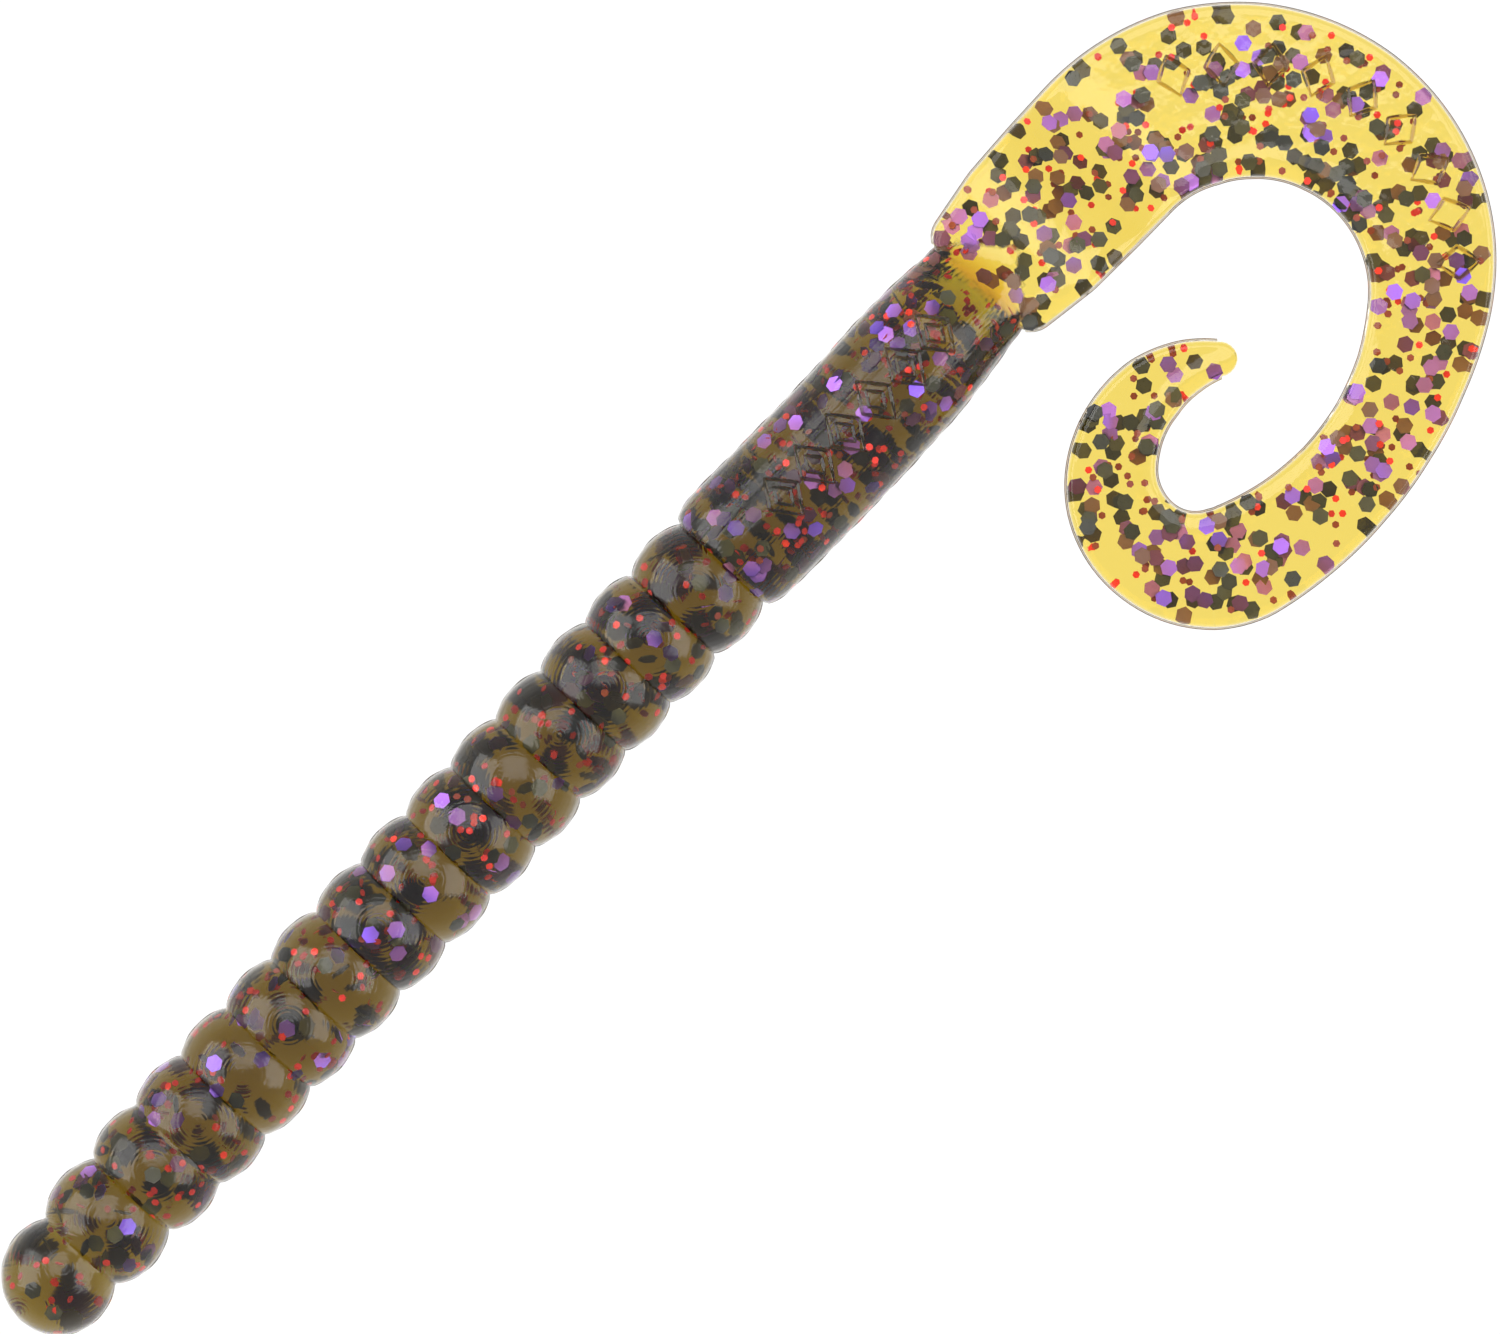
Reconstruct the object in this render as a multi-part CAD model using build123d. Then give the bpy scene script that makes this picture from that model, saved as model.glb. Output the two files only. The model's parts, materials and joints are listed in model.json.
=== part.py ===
from build123d import *
import math
import os

os.makedirs("parts", exist_ok=True)

# Soft plastic worm, 4 inches (101.6 mm) long with its ribbon tail curled as moulded.
# Millimetres. The nose tip is the origin, +X runs along the body towards the tail,
# +Z is up, and the tail curls towards -Y. The worm lies on the plane z = -collar_radius.

# ---- body -------------------------------------------------------------------------
bead_count = 15
nose_radius = 3.15
nose_length = 5.00  # nose tip to the first groove
second_radius = 3.42
second_length = 4.30
third_radius = 3.53
bead_radius = 3.63
bead_pitch = 3.57
last_length = 3.86  # the bead next to the collar is a little longer
groove_gap = 0.10  # free space left at the axis by each living hinge
groove_relief = math.tan(math.radians(6.6))  # slope of a bead's conical end face

# ---- smooth collar ----------------------------------------------------------------
collar_start = 56.00
collar_radius = 3.73
collar_neck = 3.08
collar_shoulder = 57.90  # where the rounded front shoulder reaches full radius
collar_straight_end = 70.20
collar_end = 75.70
collar_end_radius = 3.30
dome_tip = 79.30  # the rounded end of the collar lies over the tail's root
wedge_start = 72.20  # from here the collar gets flatter towards the tail
wedge_end = 79.00
wedge_height = 0.66  # half height at the wedge's thin end, just over the tail's own

# ---- ribbon tail ------------------------------------------------------------------
tail_start = 76.15
tail_thick = 1.25
tail_straight = 10.75
# Tangent clockwise arcs of the tail's centreline: radius and turn in degrees.
tail_arcs = [(10.19, 146.1), (18.91, 53.3), (5.05, 124.7), (6.71, 76.0)]
# Half width of the ribbon at stations along its centreline.
tail_widths = [
    (0.0, 3.95),
    (2.5, 4.35),
    (4.5, 4.66),
    (8.0, 4.80),
    (16.3, 4.94),
    (19.8, 4.81),
    (25.0, 4.45),
    (30.2, 3.95),
    (35.4, 3.47),
    (40.6, 3.09),
    (44.1, 2.98),
    (47.6, 3.00),
    (51.1, 3.14),
    (54.5, 3.35),
    (56.3, 3.31),
    (59.8, 2.96),
    (63.3, 2.69),
    (66.9, 2.37),
    (70.2, 1.99),
    (72.6, 1.50),
    (74.2, 1.10),
]
root_corner = 1.3
drop_start = 79.60  # the tail leaves the collar at mid height
drop_end = 89.40  # and lies on the resting plane from here on
tail_joints = [4.05, 8.35, 16.4, 25.4, 34.4, 43.4, 52.4, 60.4, 67.4]
tail_relief = math.tan(math.radians(9.0))
tail_gap = 0.08

# ---- glitter ----------------------------------------------------------------------
flake_large = 0.84  # across flats
flake_small = 0.37
flake_thick = 0.05
golden = math.radians(137.508)

rest_z = -collar_radius
tail_rest = rest_z + tail_thick / 2
drop = -tail_rest
drop_run = drop_end - drop_start
drop_radius = (drop_run**2 + drop**2) / (4 * drop)
drop_angle = math.asin(drop_run / 2 / drop_radius)


def grooves():
    """X of each groove, from the nose to the collar."""
    xs = [nose_length, nose_length + second_length]
    while len(xs) < bead_count - 1:
        xs.append(xs[-1] + bead_pitch)
    xs.append(collar_start)
    return xs


def cone_meets_sphere(apex, side, centre, radius):
    """Distance from the apex, along X, at which a conical end face meets the lobe."""
    k = 1 / groove_relief**2
    e = (apex - centre) * side
    a = 1 + k
    b = 2 * e
    c = e**2 - radius**2
    return (-b + math.sqrt(b * b - 4 * a * c)) / (2 * a)


def revolved(edges):
    """Solid of revolution about the X axis, from a closed half outline."""
    face = make_face(Plane.XY * Wire(edges))
    return revolve(face, axis=Axis.X, revolution_arc=360)


def bead(x0, x1, radius, nose=False):
    """Spherical lobe between two grooves, with a shallow cone facing each groove."""
    centre = nose_radius if nose else (x0 + x1) / 2
    back = x1 - groove_gap / 2
    ub = cone_meets_sphere(back, -1, centre, radius)
    b = (back - ub, ub / groove_relief)
    if nose:
        a = (0, 0)
        lead = []
    else:
        front = x0 + groove_gap / 2
        uf = cone_meets_sphere(front, 1, centre, radius)
        a = (front + uf, uf / groove_relief)
        lead = [Line((front, 0), a)]
    mid = (centre, radius)
    if nose:
        mid = (centre - radius * math.cos(math.pi / 3), radius * math.sin(math.pi / 3))
    start = (0, 0) if nose else (x0 + groove_gap / 2, 0)
    edges = lead + [ThreePointArc(a, mid, b), Line(b, (back, 0)), Line((back, 0), start)]
    return revolved(edges)


def centre_line(s):
    """Point and heading of the tail's centreline in plan, s from the tail's front edge."""
    x = tail_start + min(s, tail_straight)
    y = 0.0
    heading = 0.0
    left = s - tail_straight
    for radius, turn in tail_arcs:
        if left <= 0:
            break
        a = min(left / radius, math.radians(turn))
        x += radius * (math.sin(heading) - math.sin(heading - a))
        y += radius * (math.cos(heading - a) - math.cos(heading))
        heading -= a
        left -= radius * math.radians(turn)
    return x, y, heading


def half_width(s):
    """Half width of the ribbon, between its stations."""
    for (s0, w0), (s1, w1) in zip(tail_widths, tail_widths[1:]):
        if s <= s1:
            return w0 + (w1 - w0) * (s - s0) / (s1 - s0)
    return tail_widths[-1][1]


def edge_point(s, side):
    x, y, h = centre_line(s)
    w = half_width(s) * side
    return (x - math.sin(h) * w, y + math.cos(h) * w)


def drop_height(x):
    """Height and slope of the tail's middle surface, as it comes down from the collar."""
    u = min(max(x - drop_start, 0), drop_run)
    if u <= drop_run / 2:
        a = math.asin(u / drop_radius)
        return -drop_radius * (1 - math.cos(a)), a
    a = math.asin((drop_run - u) / drop_radius)
    return tail_rest + drop_radius * (1 - math.cos(a)), a


def drop_slab():
    """Slab of the tail's thickness in side view, swept right across the ribbon."""

    def offset_curve(t):
        x_mid = (drop_start + drop_end) / 2
        n = (math.sin(drop_angle) * t, math.cos(drop_angle) * t)
        p0 = (tail_start - 1.0, t)
        p1 = (drop_start, t)
        p2 = (x_mid + n[0], -drop / 2 + n[1])
        p3 = (drop_end, -drop + t)
        p4 = (drop_end + 12, -drop + t)
        first = TangentArc(p1, p2, tangent=(1, 0))
        second = TangentArc(p3, p2, tangent=(-1, 0))
        return p0, p4, [Line(p0, p1), first, second, Line(p3, p4)]

    a0, a1, top = offset_curve(tail_thick / 2)
    b0, b1, under = offset_curve(-tail_thick / 2)
    face = make_face(Plane.XZ * Wire(top + under + [Line(a0, b0), Line(a1, b1)]))
    return extrude(face, amount=9, both=True)


def ribbon(s0, s1, sloped):
    """Piece of the ribbon between two places along its centreline."""
    n = 5
    stations = [s0 + (s1 - s0) * i / n for i in range(n + 1)]
    left = [edge_point(s, 1) for s in stations]
    right = [edge_point(s, -1) for s in stations]
    last = s1 > tail_widths[-1][0] - 0.01
    if last:
        x, y, h = centre_line(s1)
        w = half_width(s1)
        tip = (x + math.cos(h) * w, y + math.sin(h) * w)
        end = ThreePointArc(left[-1], tip, right[-1])
    else:
        end = Line(left[-1], right[-1])
    face = make_face([Spline(*left), end, Spline(*right), Line(left[0], right[0])])
    if s0 == 0:
        corners = face.vertices().sort_by(Axis.X)[:2]
        face = fillet(corners, root_corner)
    if sloped:
        return extrude(Pos(0, 0, rest_z - 1) * face, amount=8) & drop_slab()
    return extrude(Pos(0, 0, rest_z) * face, amount=tail_thick)


def hinge_place(s):
    """Hinge of the ribbon: point at mid thickness, heading and downward slope."""
    x, y, h = centre_line(s)
    if s < 12:
        z, slope = drop_height(x)
    else:
        z, slope = tail_rest, 0
    return x, y, z, h, slope


def hinge_cut(s):
    """Double V across the ribbon, narrowest at mid thickness, so that both faces can close."""
    x, y, z, h, slope = hinge_place(s)
    g = tail_gap / 2
    v = g + tail_thick * tail_relief
    k = tail_thick
    outline = Polyline((-v, k), (v, k), (g, 0), (v, -k), (-v, -k), (-g, 0), close=True)
    along = Vector(math.cos(h) * math.cos(slope), math.sin(h) * math.cos(slope), -math.sin(slope))
    across = Vector(math.sin(h), -math.cos(h), 0)
    plane = Plane(origin=(x, y, z), x_dir=along, z_dir=across)
    return extrude(plane * make_face(outline), amount=half_width(s) + 0.8, both=True)


def hexagon(size):
    across_corners = size / math.cos(math.pi / 6)
    return RegularPolygon(radius=across_corners / 2, side_count=6)


def flake(point, normal, size, spin=0.0):
    """Hexagonal glitter flake lying across the given normal."""
    plane = Plane(origin=point, z_dir=normal)
    return extrude(plane * (Rot(0, 0, spin) * hexagon(size)), amount=flake_thick / 2, both=True)


def round_flakes(x0, x1, depth, count, size, phase):
    """Flakes spread on a helix under the skin of a round part of the body."""
    out = []
    for i in range(count):
        a = golden * i + phase
        x = x0 + (x1 - x0) * ((i * 0.382 + 0.21 * phase) % 1.0)
        n = Vector(0.25 * math.sin(3 * a), math.cos(a), math.sin(a))
        p = (x, depth * math.cos(a), depth * math.sin(a))
        out.append(flake(p, n, size, spin=17 * i))
    return Compound(out)


def flat_flakes(s0, s1, count, size, phase):
    """Flakes lying in the ribbon, inside its edges."""
    out = []
    for i in range(count):
        s = s0 + (s1 - s0) * ((i + 0.5) / count)
        side = 2 * ((i * 0.618 + phase) % 1.0) - 1
        reach = half_width(s) - 1.1
        x, y, h = centre_line(s)
        x -= math.sin(h) * reach * side
        y += math.cos(h) * reach * side
        z, slope = tail_rest, 0
        if s < 14:
            z, slope = drop_height(x)
        n = Vector(math.sin(slope), 0, math.cos(slope))
        out.append(flake((x, y, z), n, size, spin=23 * i))
    return Compound(out)


def save(solid, name):
    solid.label = name
    export_step(solid, f"parts/{name}.step")


# ---- beads ------------------------------------------------------------------------
edges_x = [0.0] + grooves()
for i in range(bead_count):
    radius = {0: nose_radius, 1: second_radius, 2: third_radius}.get(i, bead_radius)
    x0 = edges_x[i]
    x1 = edges_x[i + 1]
    save(bead(x0, x1, radius, nose=i == 0), f"bead_{i + 1:02d}")
    mid = nose_radius if i == 0 else (x0 + x1) / 2
    spread = 0.75
    lobe = round_flakes(mid - spread, mid + spread, radius - 0.95, 8, flake_large, 0.7 * i)
    save(lobe, f"black_flakes_bead_{i + 1:02d}")

# ---- collar, with the root of the tail --------------------------------------------
neck_u = collar_neck * groove_relief
neck = (collar_start + groove_gap / 2 + neck_u, collar_neck)
shoulder = (collar_shoulder, collar_radius)
barrel_end = (collar_straight_end, collar_radius)
taper_end = (collar_end, collar_end_radius)
front = (collar_start + groove_gap / 2, 0)
collar_edges = [
    Line(front, neck),
    TangentArc(shoulder, neck, tangent=(-1, 0)),
    Line(shoulder, barrel_end),
    Line(barrel_end, taper_end),
    ThreePointArc(taper_end, (collar_end + 2.55, 2.33), (dome_tip, 0)),
    Line((dome_tip, 0), front),
]
root_plate = ribbon(0, tail_joints[0] + 0.5, sloped=True) - hinge_cut(tail_joints[0])
root_plate = root_plate.solids().sort_by(Axis.X)[0]
upper = [(collar_start - 1, collar_radius + 1), (wedge_start - 1.5, collar_radius + 1)]
for step in range(9):
    u = step / 8
    fall = u * u * (3 - 2 * u)
    x = wedge_start + (wedge_end - wedge_start) * u
    upper.append((x, collar_radius + (wedge_height - collar_radius) * fall))
upper.append((wedge_end + 2, wedge_height))
lower = [(x, -z) for x, z in reversed(upper)]
side_outline = Plane.XZ * make_face(Polyline(*upper, *lower, close=True))
wedge = extrude(side_outline, amount=collar_radius + 2, both=True)
save((revolved(collar_edges) & wedge) + root_plate, "collar")
collar_a = collar_shoulder + 0.6
collar_b = wedge_start + 0.3
save(round_flakes(collar_a, collar_b, 2.7, 20, flake_large, 0.3), "black_flakes_collar")
save(round_flakes(collar_a, collar_b, 3.15, 9, flake_large, 2.1), "purple_flakes_collar")
save(round_flakes(collar_a, collar_b, 1.9, 12, flake_small, 1.2), "red_flakes_collar")

# ---- tail -------------------------------------------------------------------------
tail_end = tail_widths[-1][0]
ends = tail_joints + [tail_end]
for i in range(len(tail_joints)):
    s0 = ends[i]
    s1 = ends[i + 1]
    over = 0.6 if i + 1 < len(tail_joints) else 0.0
    piece = ribbon(s0 - 0.6, s1 + over, sloped=s0 < 16) - hinge_cut(s0)
    if over:
        piece = piece - hinge_cut(s1)
    piece = piece.solids().sort_by(SortBy.VOLUME)[-1]
    name = f"tail_{i + 1:02d}"
    save(piece, name)
    save(flat_flakes(s0 + 0.9, s1 - 0.9, 5, flake_large, 0.31 * i), f"black_flakes_{name}")
    if name in ("tail_02", "tail_03", "tail_04"):
        save(flat_flakes(s0 + 1.9, s1 - 1.9, 3, flake_large, 0.5 + 0.31 * i), f"purple_flakes_{name}")
        save(flat_flakes(s0 + 1.4, s1 - 1.4, 4, flake_small, 0.83 + 0.31 * i), f"red_flakes_{name}")

for s in tail_joints:
    x, y, z, h, slope = hinge_place(s)
    print(f"tail hinge at {x:.3f} {y:.3f} {z:.3f}, axis {-math.sin(h):.4f} {math.cos(h):.4f} 0")
print("grooves at", [round(x, 3) for x in grooves()])
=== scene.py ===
import json
import math
import random

import bmesh
import bpy
from mathutils import Matrix, Vector


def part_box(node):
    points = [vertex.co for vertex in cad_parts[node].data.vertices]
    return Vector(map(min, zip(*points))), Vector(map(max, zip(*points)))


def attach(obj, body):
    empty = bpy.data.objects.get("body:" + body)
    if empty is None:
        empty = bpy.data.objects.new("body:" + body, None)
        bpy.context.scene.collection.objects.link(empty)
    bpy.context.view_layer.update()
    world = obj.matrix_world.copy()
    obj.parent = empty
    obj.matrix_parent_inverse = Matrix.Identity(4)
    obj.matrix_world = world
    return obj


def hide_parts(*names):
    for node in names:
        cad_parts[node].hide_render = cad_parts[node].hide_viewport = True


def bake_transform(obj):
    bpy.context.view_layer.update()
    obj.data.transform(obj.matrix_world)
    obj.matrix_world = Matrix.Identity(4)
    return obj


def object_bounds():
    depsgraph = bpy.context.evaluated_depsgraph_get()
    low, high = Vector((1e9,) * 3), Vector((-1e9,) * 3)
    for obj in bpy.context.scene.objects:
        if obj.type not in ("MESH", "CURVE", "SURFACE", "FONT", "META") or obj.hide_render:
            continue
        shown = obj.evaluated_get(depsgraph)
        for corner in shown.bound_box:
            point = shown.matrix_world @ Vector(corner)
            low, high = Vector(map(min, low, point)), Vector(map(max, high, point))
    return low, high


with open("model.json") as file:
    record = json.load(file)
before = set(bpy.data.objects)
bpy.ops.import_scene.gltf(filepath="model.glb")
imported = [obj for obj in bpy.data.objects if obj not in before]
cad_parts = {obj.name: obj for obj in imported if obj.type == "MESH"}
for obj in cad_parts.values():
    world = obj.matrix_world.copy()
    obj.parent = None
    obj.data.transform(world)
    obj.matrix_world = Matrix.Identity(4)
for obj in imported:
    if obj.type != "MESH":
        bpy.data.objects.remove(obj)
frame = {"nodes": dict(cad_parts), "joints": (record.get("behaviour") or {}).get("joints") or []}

cad_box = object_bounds()
MM = 0.001
joints = {j["name"]: j for j in frame["joints"]}
scene = bpy.context.scene

# ---- sizes, in millimetres ---------------------------------------------------------
BEADS = 15
TAILS = 9
grooves = [joints[f"groove_{i:02d}"]["pos_m"][0] / MM for i in range(1, BEADS + 1)]
collar_low, collar_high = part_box("collar")
collar_radius = -collar_low.z / MM
rest_z = -collar_radius
tail_low, tail_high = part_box("tail_04")
tail_thick = (tail_high.z - tail_low.z) / MM
bead_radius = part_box("bead_08")[1].z / MM
first_radii = [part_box(f"bead_{i:02d}")[1].z / MM for i in (1, 2, 3)]
collar_shoulder = 57.9
straight_end = 70.2
taper_end = 75.7
taper_radius = 3.3
dome_tip = 79.3
wedge_start = 72.2
wedge_end = 79.0
wedge_height = 0.66
groove_depth = 0.05
shoulder_round = 0.62

tail_start = 76.15
tail_straight = 10.75
tail_arcs = [(10.19, 146.1), (18.91, 53.3), (5.05, 124.7), (6.71, 76.0)]
tail_widths = [
    (0.0, 3.95), (2.5, 4.35), (4.5, 4.66), (8.0, 4.80), (16.3, 4.94), (19.8, 4.81),
    (25.0, 4.45), (30.2, 3.95), (35.4, 3.47), (40.6, 3.09), (44.1, 2.98), (47.6, 3.00),
    (51.1, 3.14), (54.5, 3.35), (56.3, 3.31), (59.8, 2.96), (63.3, 2.69), (66.9, 2.37),
    (70.2, 1.99), (72.6, 1.50), (74.2, 1.10),
]
tail_end = 74.2
root_corner = 1.3
drop_start = 79.6
drop_end = 89.4
tail_rest = rest_z + tail_thick / 2
drop = -tail_rest
drop_run = drop_end - drop_start
drop_radius = (drop_run**2 + drop**2) / (4 * drop)
# Distances along the tail of the places where it bends.
tail_joint_s = [4.05, 8.35, 16.4, 25.4, 34.4, 43.4, 52.4, 60.4, 67.4]

COLLAR_CUT = 60.0
REAR_CUT = 76.0
COLLAR_SLICES = [70.0, 71.3, 72.6, 73.9, 75.0, REAR_CUT]
FLASH = 0.13
FLASH_STEP = 0.3
SEAM = 0.002  # gap left between one skin and the next
AROUND = 72
STATION_STEP = 0.16
TAIL_STEP = 0.35
SHARP_EDGE = math.radians(35)

MARK_WIDE = 0.12
MARK_TALL = 0.16
COLLAR_MARKS = 6
TAIL_MARKS = 9

FLAKE_LARGE = 0.84
FLAKE_SMALL = 0.37
FLAKE_THICK = 0.04


# ---- shape of the body and tail ----------------------------------------------------
def lobe(i):
    """Centre and radius of bead i, counted from 0 at the nose."""
    radius = first_radii[i] if i < 3 else bead_radius
    if i == 0:
        return radius, radius
    return (grooves[i - 1] + grooves[i]) / 2, radius


lobes = [lobe(i) for i in range(BEADS)]
centres = [c for c, r in lobes]


def body_radius(x):
    """Radius of the body at x: round lobes, then the smooth collar and its rounded end."""
    if x <= 0 or x >= dome_tip:
        return 0.0
    if x < grooves[-1]:
        i = sum(1 for g in grooves if x >= g)
        c, r = lobes[i]
        return math.sqrt(max(r * r - (x - c) ** 2, 0))
    if x < collar_shoulder:
        run = collar_shoulder - grooves[-1]
        u = (collar_shoulder - x) / run
        return collar_radius - shoulder_round * (1 - math.sqrt(max(1 - u**2.2, 0)))
    if x < straight_end:
        return collar_radius
    if x < taper_end:
        u = (x - straight_end) / (taper_end - straight_end)
        return collar_radius + (taper_radius - collar_radius) * u * u * (1.5 - 0.5 * u)
    u = (x - taper_end) / (dome_tip - taper_end)
    return taper_radius * math.sqrt(max(1 - u**2.1, 0))


def body_height(x):
    """Half height of the body at x. The collar's end is a wedge, flatter than it is wide."""
    if x < wedge_start:
        return body_radius(x)
    u = min((x - wedge_start) / (wedge_end - wedge_start), 1)
    return min(body_radius(x), collar_radius + (wedge_height - collar_radius) * u * u * (3 - 2 * u))


def body_sway(x):
    """The body isn't quite straight: its axis is off the line by a few tenths."""
    side = -0.30 * max(1 - x / 14, 0) ** 2
    if 54 < x < 78:
        side -= 0.22 * math.sin(math.pi * (x - 54) / 24) ** 2
    return side


def centre_line(s):
    """Point and heading of the tail's centreline in plan."""
    x = tail_start + min(s, tail_straight)
    y = 0.0
    heading = 0.0
    left = s - tail_straight
    for radius, turn in tail_arcs:
        if left <= 0:
            break
        a = min(left / radius, math.radians(turn))
        x += radius * (math.sin(heading) - math.sin(heading - a))
        y += radius * (math.cos(heading - a) - math.cos(heading))
        heading -= a
        left -= radius * math.radians(turn)
    return x, y, heading


def half_width(s):
    s = max(s, 0)
    w = tail_widths[-1][1]
    for (s0, w0), (s1, w1) in zip(tail_widths, tail_widths[1:]):
        if s <= s1:
            w = w0 + (w1 - w0) * (s - s0) / (s1 - s0)
            break
    if s < root_corner:
        w -= root_corner - math.sqrt(max(root_corner**2 - (root_corner - s) ** 2, 0))
    return w - FLASH


def drop_height(x):
    """Height and downward slope of the tail's middle surface."""
    u = min(max(x - drop_start, 0), drop_run)
    if u <= drop_run / 2:
        a = math.asin(u / drop_radius)
        return -drop_radius * (1 - math.cos(a)), a
    a = math.asin((drop_run - u) / drop_radius)
    return tail_rest + drop_radius * (1 - math.cos(a)), a


def ribbon_point(s, across, up):
    """A point of the ribbon: station, distance to the left of the centreline, height above its middle."""
    x, y, h = centre_line(s)
    x -= math.sin(h) * across
    y += math.cos(h) * across
    z, slope = (tail_rest, 0.0) if s > 20 else drop_height(x)
    return Vector((x + math.sin(slope) * up, y, z + math.cos(slope) * up))


# ---- materials ---------------------------------------------------------------------
PLASTIC_IOR = 1.42
CAP_IOR = 1.0
# What each plastic absorbs of red, green and blue, per millimetre.
BODY_TAKE = (0.31, 0.395, 1.02)
END_TAKE = (0.17, 0.25, 1.4)
TAIL_TAKE = (0.12, 0.325, 1.7)
BODY_HAZE = 0.7
BODY_ROUGH = 0.13
WAVE_HEIGHT = 0.03
RING_HEIGHT = 0.0022
RINGS_PER_MM = 26.0


def new_material(name):
    m = bpy.data.materials.new(name)
    m.use_nodes = True
    nt = m.node_tree
    return m, nt, nt.nodes["Principled BSDF"], nt.nodes["Material Output"]


def maths(nt, operation, a, b=None, c=None):
    """A Math node on sockets or numbers."""
    n = nt.nodes.new("ShaderNodeMath")
    n.operation = operation
    for socket, value in zip(n.inputs, (a, b, c)):
        if value is None:
            continue
        if isinstance(value, (int, float)):
            socket.default_value = value
        else:
            nt.links.new(value, socket)
    return n.outputs[0]


def moulded_surface(nt, rings):
    """Height in mm of the marks that the mould leaves: fine tool rings, and slow waviness."""
    rest = nt.nodes.new("ShaderNodeAttribute")
    rest.attribute_name = "rest"
    split = nt.nodes.new("ShaderNodeSeparateXYZ")
    nt.links.new(rest.outputs["Vector"], split.inputs[0])
    x, y = split.outputs["X"], split.outputs["Y"]
    wavy = nt.nodes.new("ShaderNodeTexNoise")
    wavy.inputs["Scale"].default_value = 0.8
    wavy.inputs["Detail"].default_value = 2
    nt.links.new(rest.outputs["Vector"], wavy.inputs["Vector"])
    total = maths(nt, "MULTIPLY", wavy.outputs["Fac"], WAVE_HEIGHT)
    if rings:
        # Each bead was cut by a round tool, so its marks are rings about the bead's own middle.
        pitch = (grooves[12] - grooves[2]) / 10
        cell = maths(nt, "DIVIDE", maths(nt, "SUBTRACT", x, grooves[2]), pitch)
        local = maths(nt, "MULTIPLY", maths(nt, "SUBTRACT", maths(nt, "FRACT", cell), 0.5), pitch)
        on_beads = maths(nt, "LESS_THAN", x, grooves[-1])
        local = maths(nt, "MULTIPLY", local, on_beads)
        local_squared = maths(nt, "POWER", local, 2.0)
        far = maths(nt, "SQRT", maths(nt, "ADD", local_squared, maths(nt, "POWER", y, 2.0)))
        uneven = nt.nodes.new("ShaderNodeTexNoise")
        uneven.inputs["Scale"].default_value = 2.2
        nt.links.new(rest.outputs["Vector"], uneven.inputs["Vector"])
        even = maths(nt, "MULTIPLY", far, RINGS_PER_MM)
        phase = maths(nt, "MULTIPLY_ADD", uneven.outputs["Fac"], 1.5, even)
        ring = maths(nt, "MULTIPLY", maths(nt, "SINE", phase), RING_HEIGHT)
        total = maths(nt, "ADD", total, ring)
    return total


def plastisol(name, take, rings, haze, rough=0.06):
    """Clear soft plastic. take is what it absorbs per mm of red, green and blue, and haze its bloom."""
    m, nt, p, out = new_material(name)
    p.inputs["Base Color"].default_value = (1, 1, 1, 1)
    p.inputs["Transmission Weight"].default_value = 1.0
    p.inputs["Roughness"].default_value = rough
    p.inputs["IOR"].default_value = PLASTIC_IOR
    if haze:
        # These skins end in caps inside the worm, which must not show, so the index of
        # refraction and the bloom differ from face to face.
        ior = nt.nodes.new("ShaderNodeAttribute")
        ior.attribute_name = "ior"
        nt.links.new(ior.outputs["Fac"], p.inputs["IOR"])
        sides = nt.nodes.new("ShaderNodeNewGeometry")
        front = maths(nt, "SUBTRACT", 1.0, sides.outputs["Backfacing"])
        outer = maths(nt, "GREATER_THAN", ior.outputs["Fac"], 1.2)
        bloom = maths(nt, "MULTIPLY", maths(nt, "MULTIPLY", front, outer), haze)
        nt.links.new(bloom, p.inputs["Sheen Weight"])
        p.inputs["Sheen Roughness"].default_value = 0.3
        p.inputs["Sheen Tint"].default_value = (0.90, 0.86, 0.80, 1)
    absorb = nt.nodes.new("ShaderNodeVolumeAbsorption")
    top = max(take)
    absorb.inputs["Color"].default_value = (*[1 - t / top for t in take], 1)
    absorb.inputs["Density"].default_value = top / MM
    nt.links.new(absorb.outputs[0], out.inputs["Volume"])
    height = moulded_surface(nt, rings)
    bump = nt.nodes.new("ShaderNodeBump")
    bump.inputs["Strength"].default_value = 1.0
    bump.inputs["Distance"].default_value = MM
    nt.links.new(height, bump.inputs["Height"])
    nt.links.new(bump.outputs["Normal"], p.inputs["Normal"])
    return m


def glitter(name, colour, metallic, rough):
    m, nt, p, out = new_material(name)
    p.inputs["Base Color"].default_value = (*colour, 1)
    p.inputs["Metallic"].default_value = metallic
    p.inputs["Roughness"].default_value = rough
    return m


def between(a, b, t):
    return tuple(x + (y - x) * t for x, y in zip(a, b))


body_plastic = plastisol("plastisol_body", BODY_TAKE, True, BODY_HAZE, BODY_ROUGH)
tail_plastic = plastisol("plastisol_tail", TAIL_TAKE, False, 0.8)
# The raised marks are moulded from the worm's own plastic. These much darker plastics paint the shade that
# falls along their steep edges, so the marks show as dark outlines.
body_mark_painted_shade = plastisol("plastisol_body_mark", (9, 10, 12), False, 0.0)
tail_mark_painted_shade = plastisol("plastisol_tail_mark", (3.5, 5.5, 12), False, 0.0)
# The flash is real, but its darker plastic is painted shade of the line along the ribbon's edges.
flash_painted_edge_shade = plastisol("plastisol_flash_painted_edge_shade", (4.5, 5.5, 7.5), False, 0.0)
black = glitter("glitter_black", (0.012, 0.013, 0.012), 0.0, 0.3)
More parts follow.
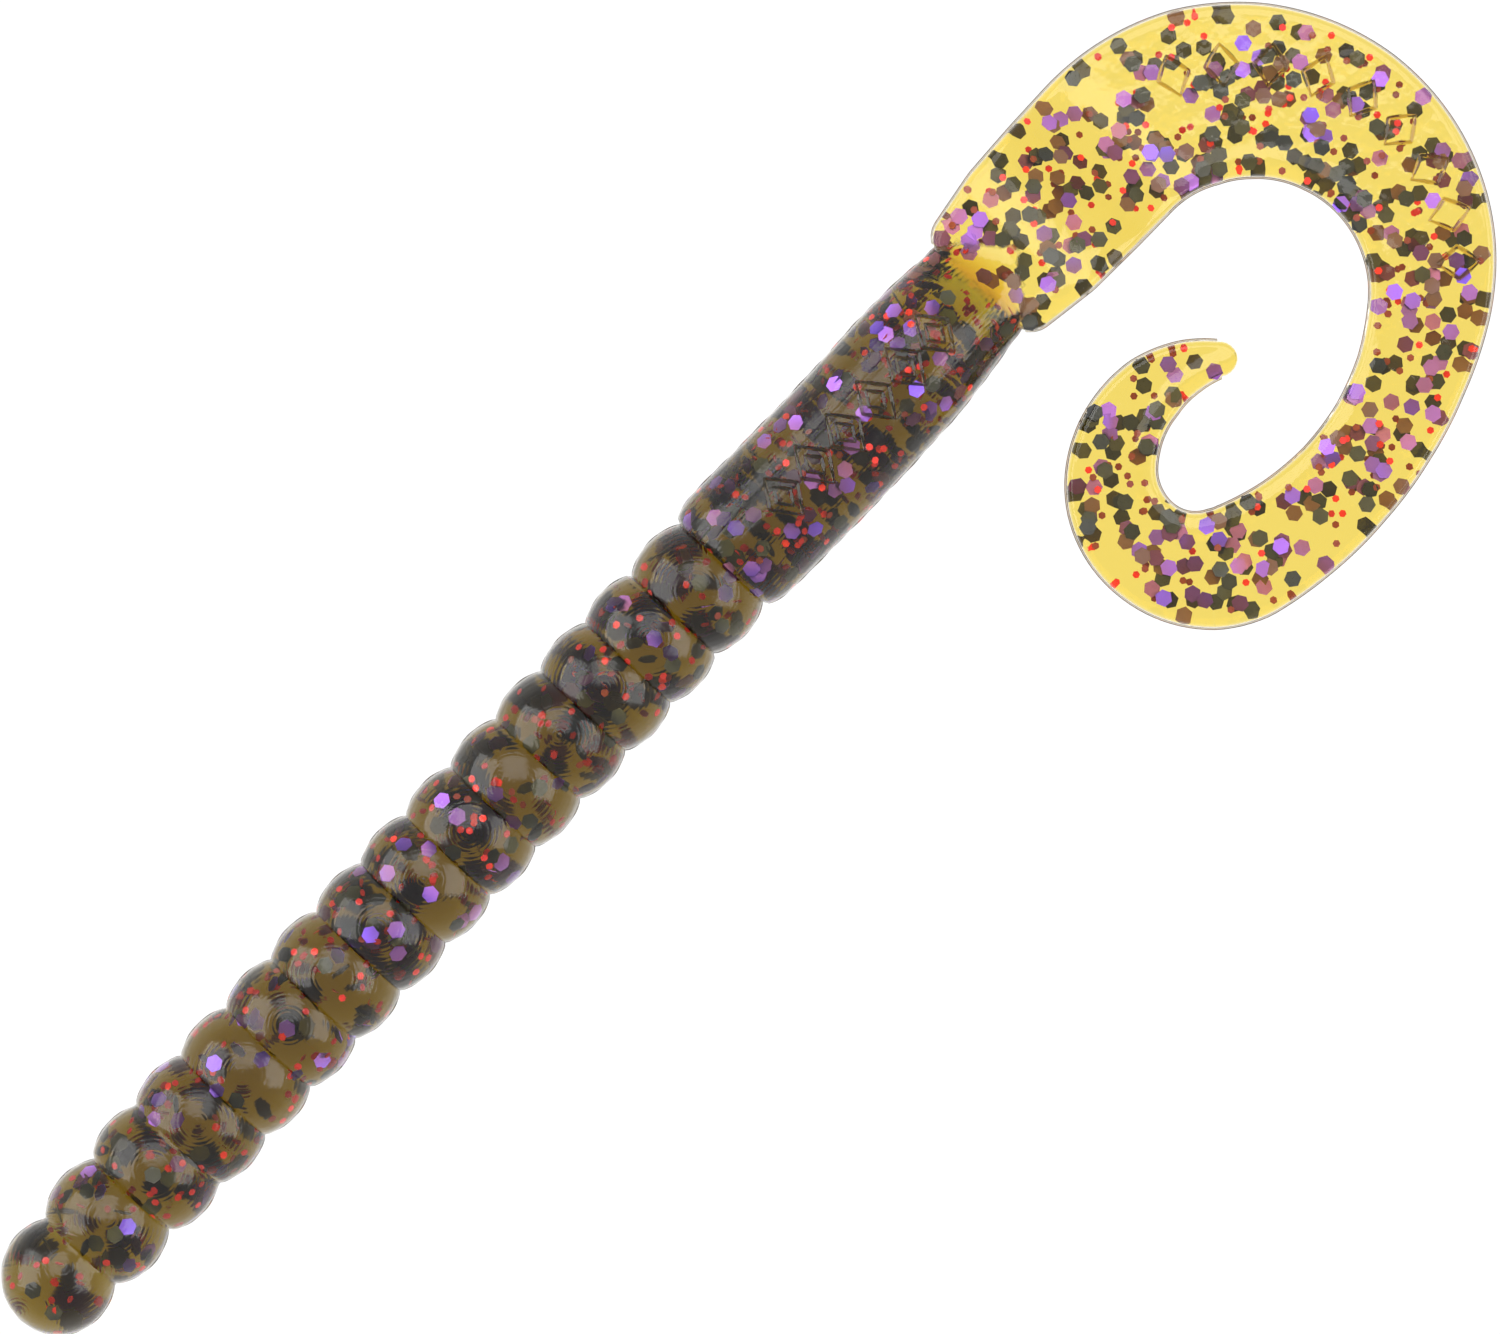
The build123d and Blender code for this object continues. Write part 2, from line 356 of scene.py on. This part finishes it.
# Lighter grey copy of the black. On deep flakes in the body it is painted haze of light scattered in the
# plastic; in the tail it is a tone picked at random.
smoky_and_painted_haze = glitter("glitter_black_smoky", (0.065, 0.062, 0.045), 0.0, 0.5)
brown = glitter("glitter_black_brown", (0.24, 0.11, 0.11), 0.0, 0.5)
purple = glitter("glitter_purple", (0.36, 0.15, 0.98), 1.0, 0.40)
violet = glitter("glitter_purple_violet", (0.24, 0.11, 0.95), 1.0, 0.36)
plum = glitter("glitter_purple_plum", (0.16, 0.05, 0.22), 0.8, 0.45)
red = glitter("glitter_red", (0.90, 0.04, 0.035), 0.7, 0.45)
rust = glitter("glitter_red_rust", (0.34, 0.05, 0.035), 0.2, 0.5)


# ---- closed skins ------------------------------------------------------------------
def make_skin(name, rings, material, pole0=False, pole1=False):
    """Closed mesh through rings of points. Its flat ends bend no light, except where pole0 or
    pole1 says that the end is a real tip."""
    n = len(rings[0])
    verts = []
    for ring in rings:
        verts.extend(ring)
    faces = []
    for k in range(len(rings) - 1):
        for j in range(n):
            a = k * n + j
            b = k * n + (j + 1) % n
            faces.append((a, b, b + n, a + n))
    caps = []

    def cap(base, flip):
        middle = sum((verts[base + j] for j in range(n)), Vector()) / n
        c = len(verts)
        verts.append(middle)
        for j in range(n):
            f = (c, base + (j + 1) % n, base + j)
            caps.append(tuple(reversed(f)) if flip else f)

    first = len(faces)
    cap(0, False)
    split0 = len(caps)
    cap((len(rings) - 1) * n, True)
    mesh = bpy.data.meshes.new(name)
    mesh.from_pydata([v * MM for v in verts], [], faces + caps)
    mesh.validate()
    ior = mesh.attributes.new("ior", "FLOAT", "FACE")
    values = [PLASTIC_IOR] * len(faces)
    values += [PLASTIC_IOR if pole0 else CAP_IOR] * split0
    values += [PLASTIC_IOR if pole1 else CAP_IOR] * (len(caps) - split0)
    ior.data.foreach_set("value", values)
    rest = mesh.attributes.new("rest", "FLOAT_VECTOR", "POINT")
    rest.data.foreach_set("vector", [c for v in verts for c in v])
    mesh.polygons.foreach_set("use_smooth", [True] * len(faces) + [False] * len(caps))
    mesh.materials.append(material)
    bm = bmesh.new()
    bm.from_mesh(mesh)
    bmesh.ops.recalc_face_normals(bm, faces=bm.faces)
    for e in bm.edges:
        if len(e.link_faces) == 2 and e.calc_face_angle(0) > SHARP_EDGE:
            e.smooth = False
    bm.to_mesh(mesh)
    bm.free()
    obj = bpy.data.objects.new(name, mesh)
    scene.collection.objects.link(obj)
    return obj


fin_rng = random.Random(7)
fin_wave = [fin_rng.uniform(0, 6.28) for _ in range(6)]


def fin_height(x):
    """Flash at the parting line: a thin uneven fin."""
    v = 0.5 + 0.25 * math.sin(1.7 * x + fin_wave[0]) + 0.25 * math.sin(4.3 * x + fin_wave[1])
    return 0.05 * max(v, 0.1)


FIN_HALF = 0.009
FIN_ANGLES = [0.0, FIN_HALF, -FIN_HALF + 2 * math.pi, math.pi, math.pi - FIN_HALF, math.pi + FIN_HALF]
ANGLES = sorted([2 * math.pi * (k + 0.5) / AROUND for k in range(AROUND)] + FIN_ANGLES)


def body_ring(x, radius=None):
    """Points round the body at x, with the fin of flash on both sides."""
    r = body_radius(x) if radius is None else radius
    high = body_height(x) if radius is None else radius
    side = body_sway(x)
    ring = []
    for t in ANGLES:
        fin = 0.0
        if r > 1 and (abs(t) < 1e-6 or abs(t - math.pi) < 1e-6):
            fin = fin_height(x + t)
        ring.append(Vector((x, side + (r + fin) * math.cos(t), high * math.sin(t))))
    return ring


def body_stations(x0, x1):
    """Stations along the body: close together by the grooves."""
    marks = [x0] + [g for g in grooves if x0 < g < x1] + [x1]
    out = []
    for a, b in zip(marks, marks[1:]):
        n = max(int((b - a) / STATION_STEP), 4)
        for k in range(n + 1):
            out.append(a + (b - a) * k / n)
    return sorted(set(out))


def body_skin(name, x0, x1, material, tip=False):
    """Closed skin of the body from x0 to x1; tip is True where it starts at the nose."""
    rings = []
    for x in body_stations(x0, x1):
        if x == x0:
            x += SEAM
        if x == x1:
            x -= SEAM
        if any(abs(x - g) < 1e-9 for g in grooves):
            rings.append(body_ring(x, body_radius(x) - groove_depth))
        elif tip and x < 0.05:
            rings.append(body_ring(0.004))
        else:
            rings.append(body_ring(x))
    return make_skin(name, rings, material, pole0=tip)


bodies = [f"bead_{i:02d}" for i in range(1, BEADS + 1)] + ["collar"]
cuts = centres + [COLLAR_CUT]

for j in range(BEADS):
    x0 = 0.0 if j == 0 else cuts[j]
    skin = body_skin(f"skin_{j + 1:02d}", x0, cuts[j + 1], body_plastic, tip=j == 0)
    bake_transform(skin)
    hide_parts(bodies[j])

collar_skin = body_skin("skin_collar", COLLAR_CUT, COLLAR_SLICES[0], body_plastic)
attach(collar_skin, "collar")
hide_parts("collar")
for k in range(len(COLLAR_SLICES) - 1):
    share = (k + 1) / len(COLLAR_SLICES)
    take = between(BODY_TAKE, END_TAKE, share)
    rough = BODY_ROUGH - 0.07 * share
    mat = plastisol(f"plastisol_mix_{k + 1}", take, True, BODY_HAZE, rough)
    part = body_skin(f"skin_collar_{k + 2}", COLLAR_SLICES[k], COLLAR_SLICES[k + 1], mat)
    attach(part, "collar")


# ---- tail --------------------------------------------------------------------------
def ribbon_section(w, t):
    """Closed outline of the ribbon across its width, with rounded edges and a thick inner rim."""
    r = min(t * 0.27, w * 0.5)
    top = []
    n = 30
    rim = 0.13 * min(w / 2.5, 1)
    for k in range(n + 1):
        u = -w + r + (2 * w - 2 * r) * k / n
        bulge = rim * math.exp(-(((u + w - 0.75) / 0.45) ** 2)) * min(4 * k / n, 1)
        top.append((u, t / 2 + bulge))
    right = []
    for k in range(1, 8):
        a = math.pi / 2 - math.pi * k / 8
        right.append((w - r + r * math.cos(a), t / 2 * math.sin(a)))
    bottom = [(u, -t / 2) for u, v in reversed(top)]
    left = [(-u, -v) for u, v in right]
    return top + right + bottom + left


def ribbon_ring(s):
    return [ribbon_point(s, u, v) for u, v in ribbon_section(half_width(s), tail_thick)]


def ribbon_rings(s0, s1, tip=False):
    n = max(int((s1 - s0) / TAIL_STEP), 4)
    out = []
    for k in range(n + 1):
        s = s0 + (s1 - s0) * k / n
        if k == 0:
            s += SEAM
        if k == n and not tip:
            s -= SEAM
        out.append(ribbon_ring(s))
    if tip:
        w_end = half_width(s1)
        x, y, h = centre_line(s1)
        for a in (0.25, 0.5, 0.72, 0.88, 0.97):
            w = w_end * math.sqrt(1 - a * a)
            ring = []
            for u, v in ribbon_section(w, tail_thick * (1 if a < 0.9 else 0.8)):
                q = ribbon_point(s1, u, v)
                ring.append(q + Vector((math.cos(h), math.sin(h), 0)) * w_end * a)
            out.append(ring)
    return out


mids = [(a + b) / 2 for a, b in zip(tail_joint_s, tail_joint_s[1:])]


def tail_blend(obj, k):
    """Bakes obj's placement into its mesh. It works out the direction along the tail at tail joint k,
    counted from 0, but nothing uses it.
    """
    j = joints[f"tail_flex_{k + 1}"]
    axis = Vector(j["axis"])
    along = Vector((0, 0, 1)).cross(axis)
    x, y, h = centre_line(tail_joint_s[k])
    if along.dot(Vector((math.cos(h), math.sin(h), 0))) < 0:
        along = -along
    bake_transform(obj)


# The rear of the collar and the root of the tail are one closed skin.
rear_rings = []
x = REAR_CUT
while x < dome_tip - 0.02:
    rear_rings.append(body_ring(x + (SEAM if x == REAR_CUT else 0)))
    x += STATION_STEP if x < 78.2 else 0.06
dome = make_skin("rear_dome", rear_rings, tail_plastic, pole1=True)
root = make_skin("rear_root", ribbon_rings(0.02, mids[0]), tail_plastic, pole0=True)
mod = dome.modifiers.new("join", "BOOLEAN")
mod.operation = "UNION"
mod.solver = "EXACT"
mod.object = root
bpy.context.view_layer.update()
evaluated = dome.evaluated_get(bpy.context.evaluated_depsgraph_get())
joined = bpy.data.meshes.new_from_object(evaluated)
rear = bpy.data.objects.new("skin_rear", joined)
scene.collection.objects.link(rear)
bpy.data.objects.remove(dome)
bpy.data.objects.remove(root)
tail_blend(rear, 0)

for k in range(1, TAILS):
    s0 = mids[k - 1]
    last = k == TAILS - 1
    s1 = tail_end if last else mids[k]
    skin = make_skin(f"skin_tail_{k + 1}", ribbon_rings(s0, s1, tip=last), tail_plastic, pole1=last)
    tail_blend(skin, k)
    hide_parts(f"tail_{k + 1:02d}")
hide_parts("tail_01")


# ---- raised marks ------------------------------------------------------------------
def mark_ring(outline, place):
    """Closed rib that follows a diamond outline; place gives a point for (along, across, up)."""
    sides = 4
    steps = 9
    path = []
    for k in range(sides):
        a = outline[k]
        b = outline[(k + 1) % sides]
        for j in range(steps):
            t = 0.04 + 0.92 * j / (steps - 1)
            path.append((a[0] + (b[0] - a[0]) * t, a[1] + (b[1] - a[1]) * t, k))
    middle = sum(p[0] for p in outline) / sides
    mid_across = sum(p[1] for p in outline) / sides
    loops = []
    for u, v, k in path:
        out_u, out_v = u - middle, v - mid_across
        size = math.hypot(out_u, out_v)
        loop = []
        for a in (0, 45, 90, 135, 180):
            o = MARK_WIDE * math.cos(math.radians(a))
            h = MARK_TALL * math.sin(math.radians(a))
            loop.append(place(u + out_u / size * o, v + out_v / size * o, h + 0.003))
        loops.append(loop)
    return loops


def marks_object(name, diamonds, place, material):
    verts = []
    faces = []
    for outline in diamonds:
        loops = mark_ring(outline, place)
        n = len(loops[0])
        base = len(verts)
        for loop in loops:
            verts.extend(p * MM for p in loop)
        count = len(loops)
        for i in range(count):
            for j in range(n):
                a = base + i * n + j
                b = base + i * n + (j + 1) % n
                c = base + ((i + 1) % count) * n + (j + 1) % n
                d = base + ((i + 1) % count) * n + j
                faces.append((a, b, c, d))
    return marks_mesh(name, verts, faces, material)


def marks_mesh(name, verts, faces, material):
    mesh = bpy.data.meshes.new(name)
    mesh.from_pydata(verts, [], faces)
    bm = bmesh.new()
    bm.from_mesh(mesh)
    bmesh.ops.recalc_face_normals(bm, faces=bm.faces)
    bm.to_mesh(mesh)
    bm.free()
    ior = mesh.attributes.new("ior", "FLOAT", "FACE")
    ior.data.foreach_set("value", [PLASTIC_IOR] * len(mesh.polygons))
    rest = mesh.attributes.new("rest", "FLOAT_VECTOR", "POINT")
    rest.data.foreach_set("vector", [c / MM for v in mesh.vertices for c in v.co])
    mesh.materials.append(material)
    obj = bpy.data.objects.new(name, mesh)
    scene.collection.objects.link(obj)
    return obj


def diamond(u, v, along, across):
    return [(u + along, v), (u, v + across), (u - along, v), (u, v - across)]


def on_collar(x, y, up):
    r = body_radius(x) + up
    side = body_sway(x)
    return Vector((x, side + y, math.sqrt(r * r - y * y) * body_height(x) / body_radius(x)))


def on_tail(s, across_line, up):
    return ribbon_point(s, across_line, tail_thick / 2 + up)


def tube_object(name, paths, place, half, material):
    """Closed square ribs along open paths of (along, across) stations."""
    verts = []
    faces = []
    for path in paths:
        base = len(verts)
        for u, v in path:
            for o, h in ((half, 0), (0, half), (-half, 0), (0, -half)):
                verts.append(place(u, v + o, h) * MM)
        for i in range(len(path) - 1):
            for j in range(4):
                a = base + 4 * i + j
                b = base + 4 * i + (j + 1) % 4
                faces.append((a, b, b + 4, a + 4))
        faces.append((base + 3, base + 2, base + 1, base))
        end = base + 4 * (len(path) - 1)
        faces.append((end, end + 1, end + 2, end + 3))
    return marks_mesh(name, verts, faces, material)


# The marks' dark plastic is painted shade of their outlines.
marks = []
for k in range(COLLAR_MARKS):
    for share in (1.0, 0.5):
        marks.append(diamond(60.9 + 2.4 * k, 0.1, 1.05 * share, 1.45 * share))
obj = marks_object("marks_collar", marks, on_collar, body_mark_painted_shade)
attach(obj, "collar")
for k in (2, 3, 4):
    marks = []
    for i in range(TAIL_MARKS):
        s = 15.6 + 2.35 * i
        if mids[k - 1] <= s < mids[k]:
            marks.append(diamond(s, 1.45, 0.78, 1.15))
    obj = marks_object(f"marks_tail_{k + 1}", marks, on_tail, tail_mark_painted_shade)
    tail_blend(obj, k)

# Flash along both edges of the ribbon. Its plastic is darker than the tail's own, a painted shade for the
# line along the ribbon's edges.
for k in range(TAILS):
    s0 = 0.3 if k == 0 else mids[k - 1]
    s1 = tail_end if k == TAILS - 1 else mids[k]
    n = int((s1 - s0) / FLASH_STEP)
    paths = []
    for side in (-1, 1):
        path = []
        for i in range(n + 1):
            s = s0 + (s1 - s0) * i / n
            path.append((s, side * (half_width(s) + FLASH / 2 + 0.01)))
        paths.append(path)
    obj = tube_object(f"flash_and_painted_shade_tail_{k + 1}", paths, ribbon_point, FLASH / 2, flash_painted_edge_shade)
    tail_blend(obj, k)


# ---- glitter -----------------------------------------------------------------------
rng = random.Random(20)


def flake_points(centre, normal, size, spin):
    n = normal.normalized()
    a = n.orthogonal().normalized()
    b = n.cross(a)
    r = size / 2 / math.cos(math.pi / 6)
    pts = []
    for h in (-FLAKE_THICK / 2, FLAKE_THICK / 2):
        for k in range(6):
            t = spin + math.pi * k / 3
            pts.append(centre + a * (r * math.cos(t)) + b * (r * math.sin(t)) + n * h)
    return pts


def random_unit():
    while True:
        v = Vector((rng.uniform(-1, 1), rng.uniform(-1, 1), rng.uniform(-1, 1)))
        if 0.1 < v.length < 1:
            return v.normalized()


def inside_body(p):
    r = body_radius(p.x) - 0.05
    high = body_height(p.x) - 0.05
    return r > 0 and high > 0 and math.hypot((p.y - body_sway(p.x)) / r, p.z / high) < 1


def body_flakes(x0, x1, density, size, on_beads, spread):
    """Flakes in the round body, most of them lying along the skin, none through it.
    on_beads is the share of the collar's density that the beads have, and a small spread keeps
    the flakes near the skin."""
    out = []
    area = math.pi * collar_radius**2
    for _ in range(int(density * area * (x1 - x0))):
        x = rng.uniform(x0, x1)
        if x < grooves[-1] and rng.random() > on_beads:
            continue
        r = collar_radius * rng.random() ** spread
        t = rng.uniform(0, 2 * math.pi)
        c = Vector((x, body_sway(x) + r * math.cos(t), r * math.sin(t)))
        depth = body_radius(x) - r
        if depth < 0.08 or (depth > 1.6 and rng.random() < 0.45):
            continue
        along = 1.0 if depth < 0.9 else 0.35
        n = Vector((rng.uniform(-0.3, 0.3), math.cos(t), math.sin(t))) * along + random_unit() * 0.55
        pts = flake_points(c, n, size, rng.uniform(0, 1))
        if all(inside_body(p) for p in pts):
            out.append((c, pts, depth))
    return out


def tail_flakes(s0, s1, density, size, lowest):
    """Flakes lying nearly flat in the ribbon, from the share lowest of its thickness up to its top."""
    out = []
    for _ in range(int(density * 2 * 5.0 * tail_thick * (s1 - s0))):
        s = rng.uniform(s0, s1)
        u = rng.uniform(-5.0, 5.0)
        v = rng.uniform(lowest, 0.5) * tail_thick
        w = half_width(s)
        if abs(u) > w - 0.35:
            continue
        tilt = rng.gauss(0, 0.16)
        turn = rng.uniform(0, 6.283)
        x, y, h = centre_line(s)
        slope = drop_height(x)[1] if s < 20 else 0
        lean_x = math.sin(tilt) * math.cos(turn)
        lean_y = math.sin(tilt) * math.sin(turn)
        n = Vector((math.sin(slope) + lean_x, lean_y, math.cos(slope)))
        lean = abs(math.sin(tilt)) * size * 0.58 + 0.04
        if abs(v) + lean > tail_thick / 2:
            continue
        c = ribbon_point(s, u, v)
        out.append((c, flake_points(c, n, size, rng.uniform(0, 1)), s))
    return out


def flake_object(name, flakes, materials, shades):
    verts = []
    faces = []
    which = []
    for (c, pts, d), shade in zip(flakes, shades):
        b = len(verts)
        verts.extend(p * MM for p in pts)
        faces.append(tuple(b + 5 - k for k in range(6)))
        faces.append(tuple(b + 6 + k for k in range(6)))
        for k in range(6):
            faces.append((b + k, b + (k + 1) % 6, b + 6 + (k + 1) % 6, b + 6 + k))
        which += [shade] * 8
    mesh = bpy.data.meshes.new(name)
    mesh.from_pydata(verts, [], faces)
    for m in materials:
        mesh.materials.append(m)
    mesh.polygons.foreach_set("material_index", which)
    obj = bpy.data.objects.new(name, mesh)
    scene.collection.objects.link(obj)
    return obj


# Colour, materials, size, density in the body, share of it on the beads, spread, density in the tail.
kinds = [
    ("black", [black, smoky_and_painted_haze, brown], FLAKE_LARGE, 0.21, 1.0, 0.42, 0.64),
    ("purple", [purple, violet, plum], FLAKE_LARGE, 0.36, 0.60, 0.20, 0.33),
    ("red", [red, rust], FLAKE_SMALL, 0.65, 0.70, 0.35, 0.55),
]


def shades_of(colour, group, on_body):
    """Which of its colour's materials each flake has. In the body, black flakes deeper than 1.3 mm get the
    lighter grey copy, a painted haze for the light that the plastic above them scatters, so they look
    duller. In the tail, and for the other colours, the pick is at random.
    """
    out = []
    for c, pts, depth in group:
        pick = rng.random()
        if colour == "black":
            if on_body:
                # Deep black flakes in the body get the lighter copy: painted haze, not a different flake.
                out.append(0 if depth < 1.3 else 1)
            else:
                out.append(0 if pick < 0.52 else 1 if pick < 0.7 else 2)
        elif colour == "purple":
            out.append(0 if pick < 0.5 else 1 if pick < (0.92 if on_body else 0.8) else 2)
        else:
            out.append(0 if pick < (0.85 if on_body else 0.5) else 1)
    return out


all_nodes = set(frame["nodes"])
for colour, mats, size, body_density, on_beads, spread, tail_density in kinds:
    found = body_flakes(0.2, 78.5, body_density, size, on_beads, spread)
    groups = [[] for _ in range(BEADS + 1)]
    for f in found:
        i = sum(1 for c in cuts[1:] if f[0].x >= c)
        groups[i].append(f)
    for i, group in enumerate(groups):
        label = bodies[i] if i < BEADS else "collar"
        obj = flake_object(f"{colour}_glitter_{label}", group, mats, shades_of(colour, group, True))
        if i < BEADS:
            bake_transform(obj)
        else:
            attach(obj, "collar")
        node = f"{colour}_flakes_{label}"
        if node in all_nodes:
            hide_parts(node)
    lowest = -0.1 if colour == "purple" else -0.5
    found = tail_flakes(0.6, tail_end - 0.4, tail_density, size, lowest)
    groups = [[] for _ in range(TAILS)]
    for f in found:
        i = sum(1 for m in mids if f[2] >= m)
        groups[i].append(f)
    for i, group in enumerate(groups):
        shades = shades_of(colour, group, False)
        obj = flake_object(f"{colour}_glitter_tail_{i + 1:02d}", group, mats, shades)
        tail_blend(obj, i)
        node = f"{colour}_flakes_tail_{i + 1:02d}"
        if node in all_nodes:
            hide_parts(node)

# ---- stage, light and camera -------------------------------------------------------
# A glowing backdrop, well below the worm, so that no pose dips through it.
BACKDROP_BELOW = 0.08
bpy.ops.mesh.primitive_plane_add(size=6, location=(0, 0, cad_box[0][2] - BACKDROP_BELOW))
floor = bpy.context.object
floor.name = "floor"
m, nt, p, out = new_material("light_table")
p.inputs["Base Color"].default_value = (0, 0, 0, 1)
p.inputs["Specular IOR Level"].default_value = 0
p.inputs["Emission Color"].default_value = (1, 1, 1, 1)
p.inputs["Emission Strength"].default_value = 1.06
floor.data.materials.append(m)

world = bpy.data.worlds.new("studio")
world.use_nodes = True
world.node_tree.nodes["Background"].inputs["Color"].default_value = (0.85, 0.85, 0.85, 1)
scene.world = world
scene.view_settings.view_transform = "Standard"

VIEW_ANGLE = math.radians(46.9)
across = Vector((math.cos(VIEW_ANGLE), -math.sin(VIEW_ANGLE), 0))
upward = Vector((math.sin(VIEW_ANGLE), math.cos(VIEW_ANGLE), 0))
MM_PER_PIXEL = 101.6 / 1872
NOSE_AT = (16.2, 1316.2)
centre = (across * (750 - NOSE_AT[0]) + upward * (NOSE_AT[1] - 667)) * MM_PER_PIXEL * MM
distance = 0.6
cam_data = bpy.data.cameras.new("camera")
cam_data.sensor_width = 36
cam_data.lens = 36 * distance / (1500 * MM_PER_PIXEL * MM)
cam_data.clip_start = 0.01
cam = bpy.data.objects.new("camera", cam_data)
scene.collection.objects.link(cam)
rotation = Matrix((across, upward, Vector((0, 0, 1)))).transposed().to_4x4()
cam.matrix_world = Matrix.Translation(centre + Vector((0, 0, distance))) @ rotation
scene.camera = cam


def light_box(name, from_zenith, towards, wide, tall, radiance):
    """Soft box one metre away: its angle from the zenith, the side of the picture it is on, and its size."""
    tilt = math.radians(from_zenith)
    turn = math.radians(towards)
    flat = across * math.cos(turn) + upward * math.sin(turn)
    place = centre + flat * math.sin(tilt) + Vector((0, 0, math.cos(tilt)))
    data = bpy.data.lights.new(name, "AREA")
    data.shape = "RECTANGLE"
    data.size = wide
    data.size_y = tall
    data.energy = radiance * math.pi * wide * tall
    obj = bpy.data.objects.new(name, data)
    scene.collection.objects.link(obj)
    obj.location = place
    obj.rotation_euler = (centre - place).to_track_quat("-Z", "Y").to_euler()
    obj.visible_camera = False


light_box("light_back", 27, 92, 0.80, 0.80, 2.7)
light_box("light_left", 62, 168, 1.15, 0.90, 3.4)
light_box("light_right", 55, 0, 1.00, 0.72, 3.0)
